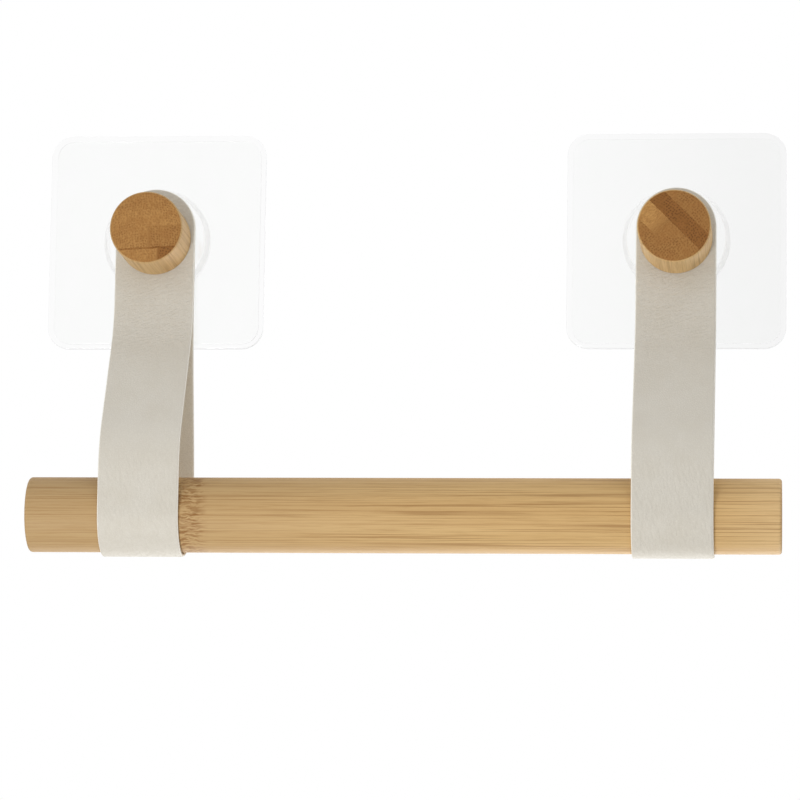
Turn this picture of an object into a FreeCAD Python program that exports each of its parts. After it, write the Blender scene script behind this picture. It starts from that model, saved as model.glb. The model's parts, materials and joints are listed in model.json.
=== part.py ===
"""Wall-mounted paper holder: two clear adhesive plates, two bamboo pegs, two leather straps and a bamboo rod.

Millimetres. X runs along the rod, to the right as the holder is seen. The wall is the plane Y = 0 and the
holder stands out of it along -Y, so a "depth" below is a distance from the wall. Z is up. The origin lies on
the wall, midway between the two plates, at the height of the peg axes.
"""
import FreeCAD
import Part
import os
from math import asin, atan2, cos, degrees, hypot, pi, sin, sqrt

Vector = FreeCAD.Vector
same_place = 1e-6

# Wall plates and what sticks them to the wall
peg_spacing = 141.0
plate_size = 59.0
plate_thickness = 1.2
plate_corner_radius = 6.0
plate_edge_radius = 0.4
boss_diameter = 29.0
boss_height = 1.8
boss_draft = 1.2
boss_rim_round = 0.6
pad_thickness = 0.8
pad_inset = 1.5

# Studs, pegs and their threaded inserts
stud_diameter = 5.0
stud_head_diameter = 14.0
stud_head_thickness = 1.5
stud_head_clearance = 0.1
stud_reach_in_peg = 9.0
stud_end_chamfer = 0.5
thread_clearance = 0.1
insert_wall = 1.0
insert_length = 10.0
insert_recess = 0.4
insert_end_room = 0.6
insert_fit = 0.06
peg_diameter = 19.6
peg_length = 17.0
peg_front_round = 0.7
peg_back_round = 0.4

# Straps
strap_width = 21.6
strap_thickness = 1.0
strap_end_beyond_hole = 13.8
strap_hole_clearance = 0.3
flex_line_below_boss = 2.0
flex_line_gap = 0.3
strap_parting_gap = 0.5
strap_bend_share = 0.76
strap_straight_above_rod = 10.5

# Rod
rod_diameter = 20.0
rod_length = 200.0
rod_end_round = 0.8
rod_offset = -1.0
rod_drop = 76.5
rod_clearance = 0.2

# Depths of the stack from the wall outwards
plate_back = pad_thickness
plate_front = plate_back + plate_thickness
boss_front = plate_front + boss_height
strap_middle = boss_front + strap_thickness
strap_front = strap_middle + strap_thickness
peg_front = strap_front + peg_length

# Heights and depths of the hanging loop
flex_height = -(boss_diameter / 2 + flex_line_below_boss)
rod_height = -rod_drop
loop_inner_radius = rod_diameter / 2 + rod_clearance
loop_outer_radius = loop_inner_radius + strap_thickness
rod_depth = strap_middle + loop_inner_radius

sides = {"left": -peg_spacing / 2, "right": peg_spacing / 2}


def cylinder(radius, near, far):
    """A round bar square to the wall, on a peg axis, from one depth to another."""
    return Part.makeCylinder(radius, far - near, Vector(0, -near, 0), Vector(0, -1, 0))


def rounded_square(size, corner_radius, near, far):
    """A square slab with rounded corners, flat to the wall and centred on a peg axis."""
    slab = Part.makeBox(size, far - near, size, Vector(-size / 2, -far, -size / 2))
    square_to_wall = [edge for edge in slab.Edges if edge.BoundBox.YLength > same_place]
    return slab.makeFillet(corner_radius, square_to_wall)


def edges_at_depth(shape, depth):
    """The edges that lie wholly at one distance from the wall."""
    return [edge for edge in shape.Edges
            if max(abs(edge.BoundBox.YMin + depth), abs(edge.BoundBox.YMax + depth)) < same_place]


def make_adhesive_pad():
    """The clear gel pad behind a plate, inset from the plate's edge all round."""
    return rounded_square(plate_size - 2 * pad_inset, plate_corner_radius - pad_inset, 0.0, plate_back)


def make_wall_plate():
    """A clear moulded plate: a flat square, a low round boss on its face and a pocket for the stud's head."""
    plate = rounded_square(plate_size, plate_corner_radius, plate_back, plate_front)
    plate = plate.makeFillet(plate_edge_radius, edges_at_depth(plate, plate_front))
    boss = Part.makeCone(boss_diameter / 2, boss_diameter / 2 - boss_draft, boss_height,
                         Vector(0, -plate_front, 0), Vector(0, -1, 0))
    boss = boss.makeFillet(boss_rim_round, edges_at_depth(boss, boss_front))
    head_pocket = cylinder(stud_head_diameter / 2 + stud_head_clearance, plate_back,
                           plate_back + stud_head_thickness)
    shank_hole = cylinder(stud_diameter / 2 + stud_head_clearance, plate_back, boss_front)
    return plate.fuse(boss).cut(head_pocket).cut(shank_hole).removeSplitter()


def make_stud():
    """The steel stud: a flat round head held behind the plate and a shank that reaches into the peg."""
    head = cylinder(stud_head_diameter / 2, plate_back, plate_back + stud_head_thickness)
    shank_end = strap_front + stud_reach_in_peg
    shank = cylinder(stud_diameter / 2, plate_back, shank_end)
    shank = shank.makeChamfer(stud_end_chamfer, edges_at_depth(shank, shank_end))
    return head.fuse(shank).removeSplitter()


def make_peg_insert():
    """The brass threaded bush pressed into the back of a peg."""
    near = strap_front + insert_recess
    bore_radius = stud_diameter / 2 + thread_clearance
    return cylinder(bore_radius + insert_wall, near, near + insert_length).cut(
        cylinder(bore_radius, near, near + insert_length))


def make_peg():
    """A short bamboo dowel with a rounded front rim and a blind hole for its insert."""
    dowel = cylinder(peg_diameter / 2, strap_front, peg_front)
    dowel = dowel.makeFillet(peg_front_round, edges_at_depth(dowel, peg_front))
    dowel = dowel.makeFillet(peg_back_round, edges_at_depth(dowel, strap_front))
    insert_radius = stud_diameter / 2 + thread_clearance + insert_wall
    hole_end = strap_front + insert_recess + insert_length + insert_end_room
    return dowel.cut(cylinder(insert_radius + insert_fit, strap_front, hole_end))


def make_strap_ends():
    """The strap's two holed ends, one on the other on the boss, each with a half-round tip above the peg."""
    bottom = flex_height + strap_thickness + flex_line_gap
    tip_centre = strap_end_beyond_hole - strap_width / 2
    hole = stud_diameter / 2 + strap_hole_clearance
    layers = []
    for near in (boss_front, strap_middle):
        far = near + strap_thickness
        strip = Part.makeBox(strap_width, strap_thickness, tip_centre - bottom,
                             Vector(-strap_width / 2, -far, bottom))
        tip = cylinder(strap_width / 2, near, far)
        tip.translate(Vector(0, 0, tip_centre))
        layers.append(strip.fuse(tip).cut(cylinder(hole, near, far)).removeSplitter())
    return Part.makeCompound(layers)


def point(depth, height):
    """A point of the strap's side view."""
    return Vector(0, -depth, height)


def arc(centre, radius, start, end):
    """An arc of the side view about a (depth, height) centre; angles run from outwards towards up."""
    ends = [point(centre[0] + radius * cos(a), centre[1] + radius * sin(a))
            for a in (start, (start + end) / 2, end)]
    return Part.Arc(*ends).toShape()


def joined(edges):
    """Edges in order, with straight runs put in wherever one ends short of the next, closed at the end."""
    chain = []
    for edge, following in zip(edges, edges[1:] + edges[:1]):
        chain.append(edge)
        stop = edge.valueAt(edge.LastParameter)
        go = following.valueAt(following.FirstParameter)
        if stop.distanceToPoint(go) > same_place:
            chain.append(Part.makeLine(stop, go))
    return Part.Wire(chain)


def make_strap_loop():
    """The hanging strap: back layer plumb, front layer an S, joined at the flex line and round the rod."""
    half = strap_thickness / 2
    top_depth = strap_middle + half
    rod_front = rod_depth + loop_inner_radius + half
    run_top = rod_height + strap_straight_above_rod
    reach = rod_front - top_depth
    fall = flex_height - run_top
    bend = strap_bend_share * (reach ** 2 + fall ** 2) / (4 * reach)
    upper = (top_depth + bend, flex_height)
    lower = (rod_front - bend, run_top)
    lean = atan2(reach - 2 * bend, fall) + asin(2 * bend / hypot(reach - 2 * bend, fall))
    rod_centre = (rod_depth, rod_height)
    parting_fall = sqrt((bend + half) ** 2 - (bend + half - strap_parting_gap) ** 2)
    parting = asin(parting_fall / (bend + half))
    parting_corner = Part.makeLine(point(strap_middle, flex_height - parting_fall),
                                   point(strap_middle + strap_parting_gap, flex_height - parting_fall))
    outline = joined([
        arc((strap_middle, flex_height), strap_thickness, 0, pi),
        arc(rod_centre, loop_outer_radius, pi, 2 * pi),
        arc(lower, bend + half, 0, lean),
        arc(upper, bend - half, pi + lean, pi),
    ])
    eye = joined([
        parting_corner,
        arc(upper, bend + half, pi + parting, pi + lean),
        arc(lower, bend - half, lean, 0),
        arc(rod_centre, loop_inner_radius, 2 * pi, pi),
    ])
    side = Part.Face(outline).cut(Part.Face(eye))
    strip = side.extrude(Vector(strap_width, 0, 0))
    strip.translate(Vector(-strap_width / 2, 0, 0))
    print("strap: bend radius %.1f, lean %.1f degrees" % (bend, degrees(lean)))
    return strip.Solids[0]


def make_rod():
    """The bamboo rod, with rounded ends, lying in both loops."""
    left_end = Vector(rod_offset - rod_length / 2, -rod_depth, rod_height)
    rod = Part.makeCylinder(rod_diameter / 2, rod_length, left_end, Vector(1, 0, 0))
    rims = [edge for edge in rod.Edges if edge.Closed and edge.BoundBox.XLength < same_place]
    return rod.makeFillet(rod_end_round, rims)


side_pieces = {
    "adhesive_pad": make_adhesive_pad(),
    "wall_plate": make_wall_plate(),
    "stud": make_stud(),
    "strap_ends": make_strap_ends(),
    "strap_loop": make_strap_loop(),
    "peg_insert": make_peg_insert(),
    "peg": make_peg(),
}

os.makedirs("parts", exist_ok=True)
for side, x in sides.items():
    for piece, shape in side_pieces.items():
        placed = shape.copy()
        placed.translate(Vector(x, 0, 0))
        placed.exportStep("parts/%s_%s.step" % (side, piece))
        print(side, piece, len(placed.Solids), "solids, valid", placed.isValid(), "%.1f mm3" % placed.Volume)

rod = make_rod()
rod.exportStep("parts/rod.step")
print("rod valid", rod.isValid(), "volume %.1f" % rod.Volume)
print("flex line: depth %.2f, height %.2f; rod axis: depth %.2f, height %.2f"
      % (strap_middle, flex_height, rod_depth, rod_height))
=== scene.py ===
# %% [markdown]
# # A paper holder of bamboo, leather and clear plastic
# Two clear plates stick to a wall. A bamboo peg on each clamps the two ends of a leather strap,
# and a bamboo rod lies in the loops that the straps make. The plates, the pegs with their brass
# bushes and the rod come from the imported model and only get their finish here. The gel pads, the
# threaded studs and the straps are modelled below.

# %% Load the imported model
import bmesh
import bpy
import json
from math import asin, atan2, cos, degrees, hypot, pi, radians, sin, sqrt
from mathutils import Matrix, Vector


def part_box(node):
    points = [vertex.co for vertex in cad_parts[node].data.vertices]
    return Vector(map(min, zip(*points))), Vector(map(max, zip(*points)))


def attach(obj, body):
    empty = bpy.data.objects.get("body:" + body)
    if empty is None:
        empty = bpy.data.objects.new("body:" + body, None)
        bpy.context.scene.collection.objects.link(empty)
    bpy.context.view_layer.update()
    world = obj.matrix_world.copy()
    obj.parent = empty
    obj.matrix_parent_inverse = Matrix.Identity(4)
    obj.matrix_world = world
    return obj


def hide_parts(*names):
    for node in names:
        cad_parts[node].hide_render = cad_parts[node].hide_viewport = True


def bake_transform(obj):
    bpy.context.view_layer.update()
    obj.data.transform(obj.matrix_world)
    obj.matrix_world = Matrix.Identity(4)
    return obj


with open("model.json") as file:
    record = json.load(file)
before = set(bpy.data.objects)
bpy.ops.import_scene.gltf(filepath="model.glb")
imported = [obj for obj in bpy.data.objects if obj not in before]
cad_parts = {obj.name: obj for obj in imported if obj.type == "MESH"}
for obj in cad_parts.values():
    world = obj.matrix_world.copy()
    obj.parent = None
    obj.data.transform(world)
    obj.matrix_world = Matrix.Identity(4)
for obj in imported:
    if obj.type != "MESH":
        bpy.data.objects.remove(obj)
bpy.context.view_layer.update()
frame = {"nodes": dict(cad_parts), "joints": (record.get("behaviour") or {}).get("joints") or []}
mm = 0.001
sides = ("left", "right")
print("nodes:", ", ".join(sorted(frame["nodes"])))

# %% [markdown]
# ## The camera
# The picture is taken from a little below the pegs and a little to the right, with a long lens.
# The angles and the distance below put the plates, the pegs and the rod where the picture has them.
# The camera's axes are worked out from the angles and set as a matrix, which leaves no doubt about
# the small sideways tilt.

# %% Place the camera
picture_size = 800
view_azimuth = radians(5.46)
view_elevation = radians(-8.70)
view_tilt = radians(0.85)
view_distance = 1.185
view_target = Vector((-2.3, -15.0, -45.5)) * mm
focal_length_in_pixels = 4454

back = Vector((sin(view_azimuth) * cos(view_elevation), -cos(view_azimuth) * cos(view_elevation),
               sin(view_elevation)))
level = Vector((cos(view_azimuth), sin(view_azimuth), 0))
upright = back.cross(level)
right = level * cos(view_tilt) + upright * sin(view_tilt)
up = upright * cos(view_tilt) - level * sin(view_tilt)

lens = bpy.data.cameras.new("camera")
lens.sensor_width = 36
lens.lens = focal_length_in_pixels * lens.sensor_width / picture_size
lens.clip_start = 0.01
camera = bpy.data.objects.new("camera", lens)
axes = Matrix((right, up, back)).transposed().to_4x4()
camera.matrix_world = Matrix.Translation(view_target + back * view_distance) @ axes
bpy.context.scene.collection.objects.link(camera)
bpy.context.scene.camera = camera
print("lens %.0f mm, camera at %s" % (lens.lens, [round(c, 3) for c in camera.location]))

# %% [markdown]
# ## Sums on sockets
# A material is a network of nodes, and most of them do arithmetic. Written out one by one they hide
# the idea, so a small class wraps a socket and lets Python's own operators add the Math nodes. One
# method adds any other kind of node: its settings first, then the values or wires of its sockets.

# %% A socket that Python can calculate with
class Wire:
    """One output of a material's nodes. A sum written with it adds the node that works it out."""

    def __init__(self, socket):
        self.socket = socket

    def node(self, kind, settings, sockets, output=0):
        """Adds a node of any kind and gives one of its outputs."""
        tree = self.socket.id_data
        made = tree.nodes.new("ShaderNode" + kind)
        for name, value in settings.items():
            if name == "stops":
                set_stops(made.color_ramp, value)
            else:
                setattr(made, name, value)
        for name, value in sockets.items():
            if isinstance(value, Wire):
                tree.links.new(value.socket, made.inputs[name])
            else:
                made.inputs[name].default_value = value
        return Wire(made.outputs[output])

    def to(self, shader, name):
        """Feeds one of a shader's sockets."""
        self.socket.id_data.links.new(self.socket, shader.inputs[name])

    def maths(self, operation, *terms):
        """Adds a Math node."""
        return self.node("Math", {"operation": operation}, dict(enumerate(terms)))

    def __add__(self, other):
        return self.maths("ADD", self, other)

    __radd__ = __add__

    def __sub__(self, other):
        return self.maths("SUBTRACT", self, other)

    def __rsub__(self, other):
        return self.maths("SUBTRACT", other, self)

    def __mul__(self, other):
        return self.maths("MULTIPLY", self, other)

    __rmul__ = __mul__

    def __abs__(self):
        return self.maths("ABSOLUTE", self)

    def rise(self, low, high):
        """0 below low, 1 above high and a smooth step between; high may be the smaller one."""
        return self.node("MapRange", {"interpolation_type": "SMOOTHSTEP"}, {0: self, 1: low, 2: high})

    def mix(self, first, second):
        """A colour between two, by this value."""
        return self.node("Mix", {"data_type": "RGBA"}, {0: self, 6: first, 7: second}, output=2)

    def parts(self):
        """The three numbers of a vector."""
        apart = self.node("SeparateXYZ", {}, {0: self}).socket.node
        return [Wire(output) for output in apart.outputs]

    def vector(self, x, y, z):
        """A vector of three numbers."""
        return self.node("CombineXYZ", {}, {0: x, 1: y, 2: z})

    def scaled(self, factor):
        """This vector times a number."""
        return self.node("VectorMath", {"operation": "SCALE"}, {0: self, "Scale": factor})

    def cloud(self, place, detail=2.0, roughness=0.5):
        """Soft noise, about one wave to a unit of the place."""
        return self.node("TexNoise", {}, {"Vector": place, "Scale": 1.0, "Detail": detail,
                                          "Roughness": roughness})

    def cells(self, place, feature="F1", randomness=1.0, dimensions="3D"):
        """The distance to the nearest of the points, or cell edges, scattered one to a unit of the place."""
        return self.node("TexVoronoi", {"feature": feature, "voronoi_dimensions": dimensions},
                         {"Vector": place, "Scale": 1.0, "Randomness": randomness})

    def raises(self, shader, strength, distance):
        """Makes a surface look raised by this value times the distance."""
        raised = {"Strength": strength, "Distance": distance, "Height": self}
        self.node("Bump", {}, raised).to(shader, "Normal")


# %% Colours and finishes
def set_stops(ramp, stops):
    """Gives a ramp its stops: (place from 0 to 1, grey level), each held until the next."""
    ramp.interpolation = "CONSTANT"
    while len(ramp.elements) < len(stops):
        ramp.elements.new(1.0)
    for element, (position, level) in zip(ramp.elements, stops):
        element.position = position
        element.color = (level, level, level, 1)


def srgb(red, green, blue):
    """A colour as the screen shows it, from 0 to 255, in the linear light that shaders use."""
    shares = [c / 255 for c in (red, green, blue)]
    return (*[c / 12.92 if c <= 0.04045 else ((c + 0.055) / 1.055) ** 2.4 for c in shares], 1)


def new_finish(name, constants):
    """A material, its shader and its Object coordinates; what is constant sits on the shader's sockets."""
    material = bpy.data.materials.new(name)
    material.use_nodes = True
    nodes = material.node_tree.nodes
    shader = nodes["Principled BSDF"]
    for socket, value in constants.items():
        shader.inputs[socket].default_value = value
    place = nodes.new("ShaderNodeTexCoord")
    return material, shader, Wire(place.outputs["Object"])


def put_on(finish, *nodes):
    """Gives CAD nodes a finish through their material slots."""
    for name in nodes:
        for slot in frame["nodes"][name].material_slots:
            slot.material = finish
        print(name, "is finished in", finish.name)


# %% [markdown]
# ## Light, floor and background
# The object is lit as on a white studio table, mostly by even light from all round. A lamp low on the
# left in front leaves the tops of round pieces a little darker than their undersides and draws a thin
# shadow beside each strap; a second one behind is for the back. The background is white only to rays
# that look at it, straight, in a mirror or through clear plastic, so it adds no light to the object.

# %% World
ambient_level = 0.86

def rays(tree, kind):
    """1 for rays of one kind and 0 for the others."""
    return Wire(tree.nodes.new("ShaderNodeLightPath").outputs["Is %s Ray" % kind])


def looking(tree):
    """1 for a ray that looks, straight, mirrored or through something clear, and 0 for one that lights."""
    straight = rays(tree, "Camera")
    aside = straight.maths("MAXIMUM", rays(tree, "Glossy"), rays(tree, "Transmission"))
    return straight.maths("MAXIMUM", straight, aside)


world = bpy.data.worlds.new("white studio")
world.use_nodes = True
bpy.context.scene.world = world
world_level = ambient_level + looking(world.node_tree) * (1 - ambient_level)
world_level.to(world.node_tree.nodes["Background"], "Color")
bpy.context.scene.view_settings.view_transform = "Standard"
print("even light, %.2f of white" % ambient_level)

# %% Lamps
lamp_beam = radians(110)

def add_lamp(name, place, width, height, power):
    """A rectangular lamp that looks at the middle of the object."""
    lamp = bpy.data.lights.new(name, "AREA")
    lamp.shape = "RECTANGLE"
    lamp.size = width
    lamp.size_y = height
    lamp.energy = power
    lamp.spread = lamp_beam
    holder = bpy.data.objects.new(name, lamp)
    holder.location = place
    holder.rotation_euler = (view_target - Vector(place)).to_track_quat("-Z", "Y").to_euler()
    holder.visible_camera = False
    holder.visible_transmission = False
    bpy.context.scene.collection.objects.link(holder)
    print("%s of %.2f W" % (name, power))


add_lamp("front lamp", place=(-0.22, -0.50, -0.43), width=0.22, height=0.16, power=0.70)
add_lamp("back lamp", place=(0.10, 0.50, -0.42), width=0.6, height=0.4, power=1.0)

# %% Floor
floor_height = -0.60
floor_radius = 4.0
fade_start = 0.3
fade_end = 1.6
waves_per_metre = 3

table = bmesh.new()
bmesh.ops.create_circle(table, cap_ends=True, segments=96, radius=floor_radius)
bmesh.ops.translate(table, verts=table.verts, vec=(0, 0, floor_height))
floor = bpy.data.objects.new("floor", bpy.data.meshes.new("floor"))
table.to_mesh(floor.data)
table.free()
bpy.context.scene.collection.objects.link(floor)

pale_floor, floor_shader, floor_place = new_finish("pale floor", {"Roughness": 0.8})
x, y = floor_place.parts()[:2]
from_middle = floor_place.maths("SQRT", x * x + y * y)
mottle = floor_place.cloud(floor_place.vector(x * waves_per_metre, y * waves_per_metre, 0.0))
mottle.mix(srgb(240, 239, 237), srgb(246, 245, 243)).to(floor_shader, "Base Color")
white = floor_place.node("Emission", {}, {"Color": looking(pale_floor.node_tree), "Strength": 1.0})
far_off = from_middle.rise(fade_start, fade_end)
faded = floor_place.node("MixShader", {}, {0: far_off, 1: Wire(floor_shader.outputs[0]), 2: white})
faded.to(pale_floor.node_tree.nodes["Material Output"], "Surface")
floor.data.materials.append(pale_floor)
print("floor at %.2f m, fading to white away from its middle" % floor_height)

# %% [markdown]
# ## Bamboo
# A bamboo dowel is turned from strips that are glued in layers. Along its side the fibre bundles show
# as fine lines; on its ends the same bundles show as dots, and the layers as bands of other browns. A
# picture wrapped round it would give only one of the two, so the pattern is a solid one: points
# scattered across the section and drawn out along the grain, cut by whatever surface shows. Only the
# darkest lines follow the girth, so that they keep their width all round. Places are in millimetres,
# so a factor on one is about the number of waves to a millimetre.

# %% Places and glued strips in a blank
half_blank = 10.0

def facing(place):
    """How far a surface looks along X, Y and Z."""
    return Wire(place.socket.node.outputs["Normal"]).parts()


def grain_place(place, centre, along_y, turn):
    """Along the grain, across the layers and along the layers, in mm from a blank's middle."""
    turned = place.node("Mapping", {"vector_type": "TEXTURE"},
                        {"Vector": place, "Location": centre, "Scale": (mm, mm, mm),
                         "Rotation": (turn, 0, pi / 2 if along_y else 0)})
    return turned.parts()


def strip_tone(across, deep, layers, softness):
    """How dark each glued strip is; a layer is (its edge, a seam in it, the tones before and after)."""
    wobble = across.cloud(across.vector(across * 0.2, deep * 0.5, 0.0)) - 0.5
    height = (across + half_blank + wobble * 0.5) * (0.5 / half_blank)
    width = (deep + half_blank + wobble * 1.0) * (0.5 / half_blank)
    seam, before, after = (height.node("ValToRGB", {"stops": [(layer[0], layer[k]) for layer in layers]},
                                       {0: height}) for k in (1, 2, 3))
    past_seam = (width - seam).rise(-softness, softness)
    return past_seam.mix(before, after).parts()[0]


# %% Dots, lines and a joint of the cane
def end_dots(place, across, deep):
    """The fibre bundles as an end shows them: dots, crowded in some places and faint in others."""
    near = place.cells(place.vector(across * 1.4, deep * 1.4, 0.0), randomness=0.55, dimensions="2D")
    crowd = place.cloud(place.vector(across * 0.25, deep * 0.25, 0.0)).rise(0.35, 0.65)
    return near.rise(0.44, 0.16) * (0.45 + 0.75 * crowd)


def side_lines(place, along, girth, bend):
    """The darkest lines along a side, in patches, and fainter towards the left."""
    sway = (place.cloud(place.vector(along * 0.02, girth * 0.1, 0.0)) - 0.5) * 0.6
    around = (girth + sway + bend) * 0.9
    seams = place.cells(place.vector(along * 0.004, around, 0.0), "DISTANCE_TO_EDGE", dimensions="2D")
    patches = place.cloud(place.vector(along * 0.02, girth * 0.35, 0.0), 2.0)
    strength = 0.7 + 0.3 * along.rise(-80.0, 30.0)
    return seams.rise(0.11, 0.03) * patches.rise(0.34, 0.60) * strength


def cane_joint(along, across, deep, at):
    """How far a point is from the joint that crosses at a place, and how far that bends its grain."""
    wander = (along.cloud(along.vector(0.0, across * 0.3, deep * 0.3)) - 0.5) * 1.6
    off = abs(along - at + wander)
    bend = (along.cloud(along.vector(along * 0.40, across * 0.4, deep * 0.4)) - 0.5) * off.rise(6.0, 0.5)
    return off, bend * 1.4


def joint_marks(place, along, across, deep, off):
    """The dark waves round a joint of the cane, and the short dashes in its middle."""
    waves = place.cloud(place.vector(along * 0.30, across * 1.5, deep * 1.5), 2.0).rise(0.45, 0.62)
    dashes = place.cells(place.vector(along * 0.55, across * 1.4, deep * 1.4)).rise(0.50, 0.25)
    return waves * off.rise(6.0, 2.0), dashes * off.rise(3.8, 1.8)


# %% Oiled bamboo
out_of_the_blank = -1000.0
strip_brown = srgb(208, 156, 92)
# The next two browns are painted shade for the rod's left end and painted light for its right end.
left_painted_shade = srgb(170, 143, 106)
right_painted_light = srgb(230, 198, 148)
fibre_brown = srgb(166, 127, 76)
line_brown = srgb(140, 98, 52)
dash_brown = srgb(132, 88, 46)
end_pale = srgb(199, 151, 88)
end_dark = srgb(132, 84, 35)
end_streak = srgb(160, 108, 56)
end_weave = srgb(144, 95, 48)
end_dot = srgb(92, 54, 24)

def bamboo(name, centre, along_y, turn, layers, softness, light, dark, line_share,
           joint=out_of_the_blank, end_rise=(0.72, 0.95)):
    """Pale sides with fibre lines, brown ends with dots, and a joint of the cane where one crosses.

    A face counts as an end as it looks along the grain, from not at all to fully over end_rise.
    """
    finish, shader, place = new_finish(name, {"Specular IOR Level": 0.20})
    along, across, deep = grain_place(place, centre, along_y, turn)
    tone = strip_tone(across, deep, layers, softness)
    end = abs(facing(place)[1 if along_y else 0]).rise(*end_rise)
    off_joint, bend = cane_joint(along, across, deep, joint)
    girth = across.maths("ARCTAN2", across, deep) * half_blank
    lines = side_lines(place, along, girth, bend) * line_share

    across = across + deep * deep * 0.02 + tone * 37 + bend
    deep = deep + tone * 53 + bend
    bundles = end_dots(place, across, deep)
    waves, dashes = joint_marks(place, along, across, deep, off_joint)
    weave = place.cloud(place.vector(along * 0.05, across * 1.4, deep * 3.0), 1.0)
    fibres = place.cloud(place.vector(along * 0.10, across * 3.6, deep * 3.6), 3.0, 0.6)
    streaks = place.cloud(place.vector(along * 0.012, across * 0.45, deep * 0.45), 3.0, 0.55)

    side = (streaks.rise(0.30, 0.70) * 0.45).mix(light, dark)
    side = (tone * 0.35).mix(side, strip_brown)
    # Painted shade darkens the side towards the left, and painted light makes it paler at the rod's right
    # end.
    side = (along.rise(50.0, -100.0) * 0.6).mix(side, left_painted_shade)
    side = (along.rise(75.0, 105.0) * 0.55).mix(side, right_painted_light)
    side = (fibres.rise(0.45, 0.75) * 0.40).mix(side, fibre_brown)
    side = (bundles * 0.10 + lines + waves * 0.60).mix(side, line_brown)
    side = (dashes * 0.40).mix(side, dash_brown)
    heart = tone.mix(end_pale, end_dark)
    heart = (streaks.rise(0.35, 0.7) * 0.40).mix(heart, end_streak)
    heart = (weave.rise(0.25, 0.75) * 0.5).mix(heart, end_weave)
    heart = (bundles * (0.18 + 0.40 * tone)).mix(heart, end_dot)
    end.mix(side, heart).to(shader, "Base Color")

    (0.46 + 0.16 * fibres + 0.12 * end).to(shader, "Roughness")
    relief = fibres * 0.6 - bundles * 0.4 - lines * 0.4 - waves * 0.3 - dashes * 0.5
    relief.raises(shader, 0.35, 0.1 * mm)
    return finish


# %% Bamboo for the rod and the two pegs
def middle(node):
    """The middle of a node's box."""
    low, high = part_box(node)
    return (low + high) / 2


rod_layers = [(0.0, 0.60, 0.30, 0.22), (0.28, 0.35, 0.12, 0.35),
              (0.60, 0.55, 0.40, 0.10), (0.84, 0.5, 0.2, 0.3)]
rod_bamboo = bamboo("rod bamboo", middle("rod"), along_y=False, turn=radians(78), layers=rod_layers,
                    softness=0.004, light=srgb(213, 179, 124), dark=srgb(193, 154, 100),
                    line_share=0.52, joint=-56.4, end_rise=(0.95, 0.998))
put_on(rod_bamboo, "rod")

left_layers = [(0.0, 0.64, 0.22, 0.85), (0.205, 0.55, 0.70, 0.98), (0.23, 0.53, 0.26, 0.42),
               (0.51, 0.5, 0.22, 0.22), (0.745, 0.5, 0.32, 0.32)]
left_bamboo = bamboo("left peg bamboo", middle("left_peg"), along_y=True, turn=radians(87),
                     layers=left_layers, softness=0.02, light=srgb(214, 182, 130),
                     dark=srgb(196, 161, 107), line_share=0.35)
put_on(left_bamboo, "left_peg")

right_layers = [(0.0, 0.40, 0.52, 0.52), (0.235, 0.34, 0.02, 0.50),
                (0.51, 0.5, 0.92, 0.92), (0.735, 0.5, 0.55, 0.55)]
right_bamboo = bamboo("right peg bamboo", middle("right_peg"), along_y=True, turn=radians(135),
                      layers=right_layers, softness=0.10, light=srgb(227, 195, 139),
                      dark=srgb(211, 175, 118), line_share=0.35)
put_on(right_bamboo, "right_peg")

# %% [markdown]
# ## Clear plates and their gel
# The plates are moulded in clear plastic, and a thin sheet of clear gel behind each one sticks it to
# the wall. Both let the white behind them through, so what shows is the faint grey of their
# thickness and the darker line where their edges bend the light, which painted shade on the edges
# deepens; painted shade also darkens the plates towards the right. Glass in Cycles throws a full
# shadow, which so clear a sheet doesn't, so theirs is switched off. A hair of air parts the gel from
# the plate, because two clear faces in one place would flicker.

# %% Clear plastic
boss_reach = 18 * mm
edge_reach = 24 * mm
shade_start = 20 * mm
shade_end = 105 * mm

def from_peg_axis(place):
    """How far a point lies from the nearer peg's axis."""
    x, z = place.parts()[::2]
    aside = abs(x) - middle("right_peg").x
    return place.maths("SQRT", aside * aside + z * z)


def edge_share(place):
    """0 on faces that are flat to the wall, and 1 on the edges and other faces square to it."""
    return abs(facing(place)[1]).rise(0.95, 0.30)


plastic, shader, place = new_finish("clear moulded plastic", {"Transmission Weight": 1.0, "IOR": 1.46,
                                                              "Specular IOR Level": 0.3})
flow = place.cloud(place.scaled(90.0))
rim = edge_share(place)
# Painted shade: the plates are tinted darker towards the right.
shade = place.parts()[0].rise(shade_start, shade_end)
tint = (shade * 0.85 + flow * 0.15).mix(srgb(252, 252, 252), srgb(244, 244, 244))
outwards = from_peg_axis(place).rise(boss_reach, edge_reach)
# Painted shade: the edges and the boss's sides get a darker tint, darkest away from the boss, on top of the
# line that refraction gives.
painted_rim_shade = outwards.mix(srgb(248, 248, 248), srgb(238, 239, 239))
rim.mix(tint, painted_rim_shade).to(shader, "Base Color")
(0.015 + flow * 0.03 + rim * 0.85).to(shader, "Roughness")
flow.raises(shader, 0.06, 0.2 * mm)
put_on(plastic, "left_wall_plate", "right_wall_plate")
for side in sides:
    frame["nodes"][side + "_wall_plate"].visible_shadow = False

# %% Clear gel
gel, shader, place = new_finish("clear adhesive gel", {"Transmission Weight": 1.0, "IOR": 1.42})
cure = place.cloud(place.scaled(220.0))
cure.mix(srgb(253, 254, 253), srgb(255, 255, 255)).to(shader, "Base Color")
(0.03 + cure * 0.06 + edge_share(place) * 0.25).to(shader, "Roughness")
print("made", gel.name)

# %% From a bmesh to a piece
same_place = 0.001 * mm

def level_with_wall(edge):
    """Whether an edge keeps one distance from the wall."""
    return abs(edge.verts[0].co.y - edge.verts[1].co.y) < same_place


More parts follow.
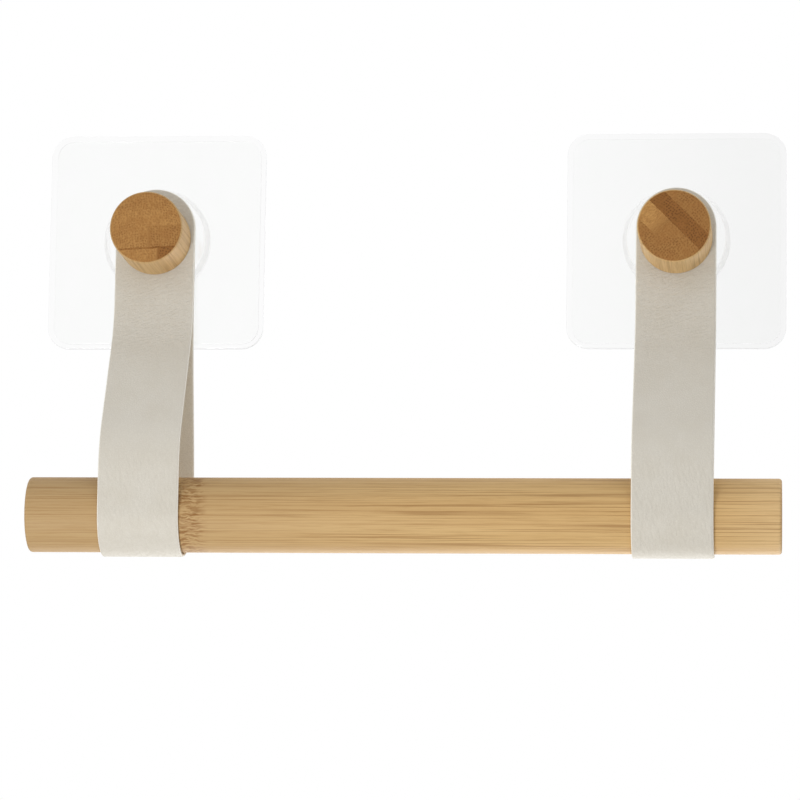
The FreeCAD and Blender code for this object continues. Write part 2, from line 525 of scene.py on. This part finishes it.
def grow(shape, faces, move):
    """Extrudes faces by a move."""
    grown = bmesh.ops.extrude_face_region(shape, geom=faces)
    moved = [v for v in grown["geom"] if isinstance(v, bmesh.types.BMVert)]
    bmesh.ops.translate(shape, verts=moved, vec=move)


def soften(shape, edges, offset, segments):
    """Rounds edges off."""
    bmesh.ops.bevel(shape, geom=edges, offset=offset, offset_type="OFFSET", segments=segments, profile=0.5,
                    affect="EDGES", material=-1)


def add_piece(name, shape, finishes):
    """Makes a scene object of a bmesh and frees it."""
    mesh = bpy.data.meshes.new(name)
    shape.to_mesh(mesh)
    shape.free()
    for finish in finishes:
        mesh.materials.append(finish)
    piece = bpy.data.objects.new(name, mesh)
    bpy.context.scene.collection.objects.link(piece)
    print(name, len(mesh.polygons), "faces")
    return piece


# %% Gel pads
pad_corner = 4.5 * mm
pad_edge = 0.2 * mm
air_gap = 0.04 * mm

for side in sides:
    low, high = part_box(side + "_adhesive_pad")
    centre = (low + high) / 2
    pad = bmesh.new()
    bmesh.ops.create_grid(pad, x_segments=1, y_segments=1, size=(high.x - low.x) / 2,
                          matrix=Matrix.Rotation(pi / 2, 4, "X"))
    bmesh.ops.bevel(pad, geom=pad.verts[:], offset=pad_corner, offset_type="OFFSET", segments=8, profile=0.5,
                    affect="VERTICES", material=-1)
    grow(pad, pad.faces[:], (0, low.y - high.y + air_gap, 0))
    bmesh.ops.recalc_face_normals(pad, faces=pad.faces)
    soften(pad, [e for e in pad.edges if level_with_wall(e)], pad_edge, segments=2)
    bmesh.ops.translate(pad, verts=pad.verts, vec=(centre.x, high.y, centre.z))
    piece = add_piece(side + "_gel_pad", pad, [gel])
    piece.visible_shadow = False
    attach(piece, "wall_mounts")
    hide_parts(side + "_adhesive_pad")

# %% [markdown]
# ## Metal
# The stud is plated steel and the bush in the peg is turned brass. From the front both are hidden
# until a peg is screwed off; from behind, the stud's head shows through the gel. Turning leaves fine
# rings round the axis, so the roughness follows two distances only, the one from that axis and the
# one from the wall.

# %% Steel and brass
def turned_metal(name, bright, dull, roughness):
    """A turned metal, with fine rings round an axis that is square to the wall."""
    finish, shader, place = new_finish(name, {"Metallic": 1.0})
    depth = place.parts()[1]
    rings = place.cloud(place.vector(from_peg_axis(place) * 5000, depth * 9000, 0.0), 3.0)
    stain = place.cloud(place.scaled(200.0), 3.0)
    (stain.rise(0.3, 0.7) * 0.6).mix(bright, dull).to(shader, "Base Color")
    (roughness + rings * 0.18).to(shader, "Roughness")
    rings.raises(shader, 0.15, 0.05 * mm)
    return finish


steel = turned_metal("plated steel", srgb(208, 208, 206), srgb(182, 181, 178), 0.22)
brass = turned_metal("turned brass", srgb(222, 190, 120), srgb(196, 158, 88), 0.26)
put_on(brass, "left_peg_insert", "right_peg_insert")

# %% [markdown]
# ## Threaded studs
# The shank is an M5 thread of 0.8 mm pitch, which the peg climbs as it is turned. A thread is a tooth
# that travels along while it turns, and bmesh's spin does just that when it is given a step along
# the axis. The helix starts and stops anywhere, so it is made too long and cut flat at both ends.

# %% Threaded shank
pitch = 0.8 * mm
thread_depth = 0.61 * pitch
crest_width = 0.125 * pitch
flank_width = (pitch - crest_width) / 2
steps_per_turn = 28
turns_before = 2
turns_to_spare = 5
cut_precision = 1e-7

def cut_flat(shank, depth, outwards):
    """Cuts a shank square at a depth from the wall, and closes the cut."""
    everything = shank.verts[:] + shank.edges[:] + shank.faces[:]
    cut = bmesh.ops.bisect_plane(shank, geom=everything, dist=cut_precision, plane_co=(0, -depth, 0),
                                 plane_no=(0, -outwards, 0), clear_outer=True)
    rim = [e for e in cut["geom_cut"] if isinstance(e, bmesh.types.BMEdge)]
    bmesh.ops.contextual_create(shank, geom=rim)


def make_shank(near, far, crest):
    """A threaded bar along the peg's axis between two depths."""
    shank = bmesh.new()
    root = crest - thread_depth
    tooth = [(root, 0), (crest, flank_width), (crest, flank_width + crest_width), (root, pitch)]
    start = near - turns_before * pitch
    corners = [shank.verts.new((radius, -(start + rise), 0)) for radius, rise in tooth]
    edges = [shank.edges.new(pair) for pair in zip(corners, corners[1:])]
    turns = int((far - near) / pitch) + turns_to_spare
    bmesh.ops.spin(shank, geom=corners + edges, cent=(0, 0, 0), axis=(0, -1, 0), angle=2 * pi * turns,
                   steps=turns * steps_per_turn, dvec=(0, -pitch / steps_per_turn, 0))
    bmesh.ops.remove_doubles(shank, verts=shank.verts, dist=pitch / 1000)
    cut_flat(shank, near, -1)
    cut_flat(shank, far, 1)
    bmesh.ops.recalc_face_normals(shank, faces=shank.faces)
    return shank


# %% Heads, and the studs in their places
stud_radius = 2.5 * mm
head_radius = 7.0 * mm
head_thickness = 1.5 * mm
head_edge = 0.25 * mm

def add_head(stud, back):
    """Adds the flat round head, whose back lies at a given Y and which grows away from the wall."""
    made = bmesh.ops.create_circle(stud, cap_ends=True, segments=64, radius=head_radius,
                                   matrix=Matrix.Translation((0, back, 0)) @ Matrix.Rotation(pi / 2, 4, "X"))
    disc = made["verts"][0].link_faces[0]
    grow(stud, [disc], (0, -head_thickness, 0))
    rims = [e for e in stud.edges if level_with_wall(e)
            and all(abs(hypot(v.co.x, v.co.z) - head_radius) < same_place for v in e.verts)]
    soften(stud, rims, head_edge, segments=3)
    bmesh.ops.recalc_face_normals(stud, faces=stud.faces)


for side in sides:
    low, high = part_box(side + "_stud")
    stud = make_shank(-high.y + head_thickness / 2, -low.y, stud_radius)
    add_head(stud, high.y)
    bmesh.ops.translate(stud, verts=stud.verts, vec=((low.x + high.x) / 2, 0, 0))
    piece = add_piece(side + "_threaded_stud", stud, [steel])
    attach(piece, "wall_mounts")
    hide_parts(side + "_stud")

# %% [markdown]
# ## Leather
# The straps are thin cream leather with a fine pebbled grain outside, a suede back, and cut edges that
# show the paler fibres. Three finishes go on one strip, by which way each face looks when the strip
# still lies flat. The pebbles are cells, and the pits between them are darker by painted shade. Soft
# folds lie across the strap below its peg and along it round the rod; they are mostly relief, with a
# little painted shade, because as colour they would look like hairs. Places are in millimetres again.

# %% Grain side
fold_start, fold_full = -46.0, -22.0
rod_fold_start, rod_fold_full = -54.0, -70.0

grain_side, shader, place = new_finish("leather grain side", {"Specular IOR Level": 0.30,
                                                              "Sheen Weight": 0.08})
x, y, z = place.scaled(1 / mm).parts()
wide = place.cloud(place.vector(x * 0.12, y * 0.12, z * 0.12), 3.0)
warp = place.cloud(place.vector(x * 1.1, y * 1.1, z * 1.1), 2.0) * 1.6
pebbles = place.vector(x * 1.7 + warp, y * 1.7 + warp, z * 1.7 - warp)
pits = place.cells(pebbles, "DISTANCE_TO_EDGE").rise(0.26, 0.0)
fine = place.cloud(place.vector(x * 6, y * 6, z * 6), 2.0)
slant = place.vector(x * 0.6 + z * 0.35, y * 0.5, z * 1.4 - x * 0.6)
across_folds = place.cloud(slant, 2.0).rise(0.34, 0.70) * z.rise(fold_start, fold_full)
plumb = place.vector(x * 1.2 + z * 0.2, y * 0.5, z * 0.4)
along_folds = place.cloud(plumb, 2.0).rise(0.34, 0.70) * z.rise(rod_fold_start, rod_fold_full)
folds = across_folds + along_folds
hide = (wide.rise(0.3, 0.7) * 0.3).mix(srgb(214, 209, 198), srgb(204, 197, 182))
# Painted shade: the pits between the pebbles and the folds are mixed towards a darker cream.
(pits * 0.16 + folds * 0.09).mix(hide, srgb(184, 176, 160)).to(shader, "Base Color")
(0.50 + 0.14 * fine).to(shader, "Roughness")
(fine * 0.1 - pits * 0.25 - folds).raises(shader, 0.4, 0.18 * mm)
print("made", grain_side.name)

# %% Suede back and cut edge
suede, shader, place = new_finish("leather suede back", {"Specular IOR Level": 0.15, "Sheen Weight": 0.25})
x, y, z = place.scaled(1 / mm).parts()
nap = place.cloud(place.vector(x * 5, y * 3, z * 3), 4.0, 0.7)
nap.rise(0.3, 0.75).mix(srgb(238, 231, 216), srgb(222, 213, 196)).to(shader, "Base Color")
(0.80 + 0.15 * nap).to(shader, "Roughness")
nap.raises(shader, 0.4, 0.15 * mm)

cut, shader, place = new_finish("leather cut edge", {"Specular IOR Level": 0.25})
x, y, z = place.scaled(1 / mm).parts()
fibre = place.cloud(place.vector(x * 2, y * 6, z * 2), 3.0, 0.65)
fibre.rise(0.3, 0.7).mix(srgb(248, 245, 236), srgb(238, 233, 221)).to(shader, "Base Color")
(0.66 + 0.15 * fibre).to(shader, "Roughness")
fibre.raises(shader, 0.3, 0.1 * mm)
print("made", suede.name, "and", cut.name)

# %% [markdown]
# ## Where a strap runs
# A strap hangs plumb behind the rod, turns up under it, and comes back to the peg in a long S. That is
# a chain of straight runs and arcs, so its middle line is written as moves: how far to go, and how
# far to turn on the way. The lengths come from the model's boxes, so the strap fits the rod.

# %% The moves of a strap's middle line
straight_above_rod = 10.5 * mm
bend_share = 0.76
swing = next(joint for joint in frame["joints"] if joint["name"] == "strap_swing")
flex_height = swing["pos_m"][2]
ends_low, ends_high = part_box("left_strap_ends")
loop_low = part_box("left_strap_loop")[0]
strap_width = ends_high.x - ends_low.x
thickness = (ends_high.y - ends_low.y) / 2
rod_height = middle("rod").z
tip_height = ends_high.z
rear_depth = -ends_high.y + thickness / 2
front_depth = rear_depth + thickness
loop_radius = rod_height - loop_low.z - thickness / 2

run_top = rod_height + straight_above_rod
reach = rear_depth + 2 * loop_radius - front_depth
fall = flex_height - run_top
bend_radius = bend_share * (reach ** 2 + fall ** 2) / (4 * reach)
apart = hypot(reach - 2 * bend_radius, fall)
lean = atan2(reach - 2 * bend_radius, fall) + asin(2 * bend_radius / apart)
moves = [
    (tip_height - rod_height, 0),
    (pi * loop_radius, pi),
    (straight_above_rod, 0),
    (bend_radius * lean, lean),
    (sqrt(apart ** 2 - 4 * bend_radius ** 2), 0),
    (bend_radius * lean, -lean),
    (tip_height - flex_height, 0),
]
strap_length = sum(length for length, turn in moves)
print("strap %.1f mm long, %.1f wide, %.2f thick, lean %.1f degrees"
      % (strap_length / mm, strap_width / mm, thickness / mm, degrees(lean)))

# %% A point on the strap
def strap_place(distance, outwards):
    """The depth and height of a point, by its distance along the strap and outwards from its middle."""
    depth, height, heading = rear_depth, tip_height, -pi / 2
    for length, turn in moves:
        step = min(distance, length)
        if turn:
            radius = length / turn
            swept = step / radius
            depth += radius * (sin(heading + swept) - sin(heading))
            height += radius * (cos(heading) - cos(heading + swept))
            heading += swept
        else:
            depth += step * cos(heading)
            height += step * sin(heading)
        distance -= step
        if distance <= 0:
            break
    return depth + outwards * sin(heading), height - outwards * cos(heading)


front_tip = strap_place(strap_length, 0)
print("the front tip lies at depth %.2f mm and height %.2f mm" % tuple(c / mm for c in front_tip))

# %% [markdown]
# ## Cutting and wrapping the leather
# A leather worker cuts a strap flat: a strip with round tips and a punched hole near each one. The
# same is done here. The long middle is a plain grid, and each end is a set of rings that grow from the
# hole to the round tip, so no face is squeezed anywhere. The strip then gets its thickness and a soft
# bevel round its cut edges, and only after that is it wrapped, so the leather keeps its length. The
# run behind the rod drifts a little to one side, as a hanging strap does.

# %% Cut the strip
columns = 28
rows = 160
side_steps = 11
tip_steps = 34
ring_shares = (0, 0.15, 0.40, 0.70, 0.88, 1)
hole_from_tip = tip_height
hole_radius = 2.8 * mm
hole_to_body = 8.0 * mm
half_width = strap_width / 2

def end_outline():
    """One end's outline, from its hole's centre: up a side, round the tip, down and back across."""
    tip = hole_from_tip - half_width
    rise = tip + hole_to_body
    climb = [(half_width, rise * k / side_steps - hole_to_body) for k in range(side_steps)]
    turns = [pi * k / tip_steps for k in range(tip_steps)]
    arch = [(half_width * cos(turn), tip + half_width * sin(turn)) for turn in turns]
    descent = [(-half_width, tip - rise * k / side_steps) for k in range(side_steps)]
    base = [(strap_width * k / columns - half_width, -hole_to_body) for k in range(columns)]
    return [Vector(point) for point in climb + arch + descent + base]


def add_end(strip, hole, outwards):
    """Adds one end of the strip: rings of faces from its hole to its outline."""
    outline = end_outline()
    rings = []
    for share in ring_shares:
        places = [(point.normalized() * hole_radius).lerp(point, share) for point in outline]
        rings.append([strip.verts.new((across, hole + outwards * up, 0)) for across, up in places])
    for inner, outer in zip(rings, rings[1:]):
        for k in range(len(outline)):
            strip.faces.new((inner[k - 1], inner[k], outer[k], outer[k - 1]))


def cut_strip():
    """The flat strip: X across, Y along from its middle, grain side up."""
    hole = strap_length / 2 - hole_from_tip
    strip = bmesh.new()
    bmesh.ops.create_grid(strip, x_segments=columns, y_segments=rows, size=1)
    bmesh.ops.scale(strip, verts=strip.verts, vec=(half_width, hole - hole_to_body, 1))
    for outwards in (-1, 1):
        add_end(strip, outwards * hole, outwards)
    bmesh.ops.remove_doubles(strip, verts=strip.verts, dist=same_place)
    strip.normal_update()
    bmesh.ops.reverse_faces(strip, faces=[f for f in strip.faces if f.normal.z < 0])
    return strip


# %% Give it thickness and soft edges
edge_softness = 0.44 * mm
skin_gap = 0.03 * mm
leather = thickness - 2 * skin_gap
rim_turn = 0.5
flat_enough = 0.95

def surface_of(face):
    """Which of the three finishes a face has: 0 the grain side, 1 the suede back, 2 the cut edge."""
    if abs(face.normal.z) <= flat_enough:
        return 2
    return 0 if face.normal.z > 0 else 1


def thicken(strip):
    """Gives the strip its thickness, softens its cut edges and tells its three surfaces apart."""
    bmesh.ops.solidify(strip, geom=strip.faces[:], thickness=leather)
    strip.normal_update()
    rims = [e for e in strip.edges if abs(e.link_faces[0].normal.z - e.link_faces[1].normal.z) > rim_turn]
    soften(strip, rims, edge_softness, segments=3)
    strip.normal_update()
    for face in strip.faces:
        face.smooth = True
        face.material_index = surface_of(face)


# %% Wrap a strip
hang_start = tip_height - flex_height
loop_start = tip_height - rod_height
loop_bottom = loop_start + pi * loop_radius / 2

def drift_share(distance):
    """How much of its sideways drift the strap has: none at the clamp, all behind the rod, none below it."""
    going = (distance - hang_start) / (loop_start - hang_start)
    coming = (loop_bottom - distance) / (loop_bottom - loop_start)
    share = min(max(min(going, coming), 0), 1)
    return share * share * (3 - 2 * share)


def wrap(strip, axis_x, drift):
    """Moves every point of the flat strip to its place on the hanging strap."""
    for vertex in strip.verts:
        across, along, lift = vertex.co
        distance = along + strap_length / 2
        depth, height = strap_place(distance, lift + leather / 2)
        vertex.co = (axis_x + across + drift * drift_share(distance), -depth, height)


# %% Hang the straps up
rear_drift = {"left": 1.2 * mm, "right": -0.5 * mm}

for side in sides:
    axis_x = middle(side + "_strap_ends").x
    strip = cut_strip()
    thicken(strip)
    wrap(strip, axis_x, rear_drift[side])
    strap = add_piece(side + "_strap", strip, [grain_side, suede, cut])
    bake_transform(strap)
    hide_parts(side + "_strap_ends", side + "_strap_loop")
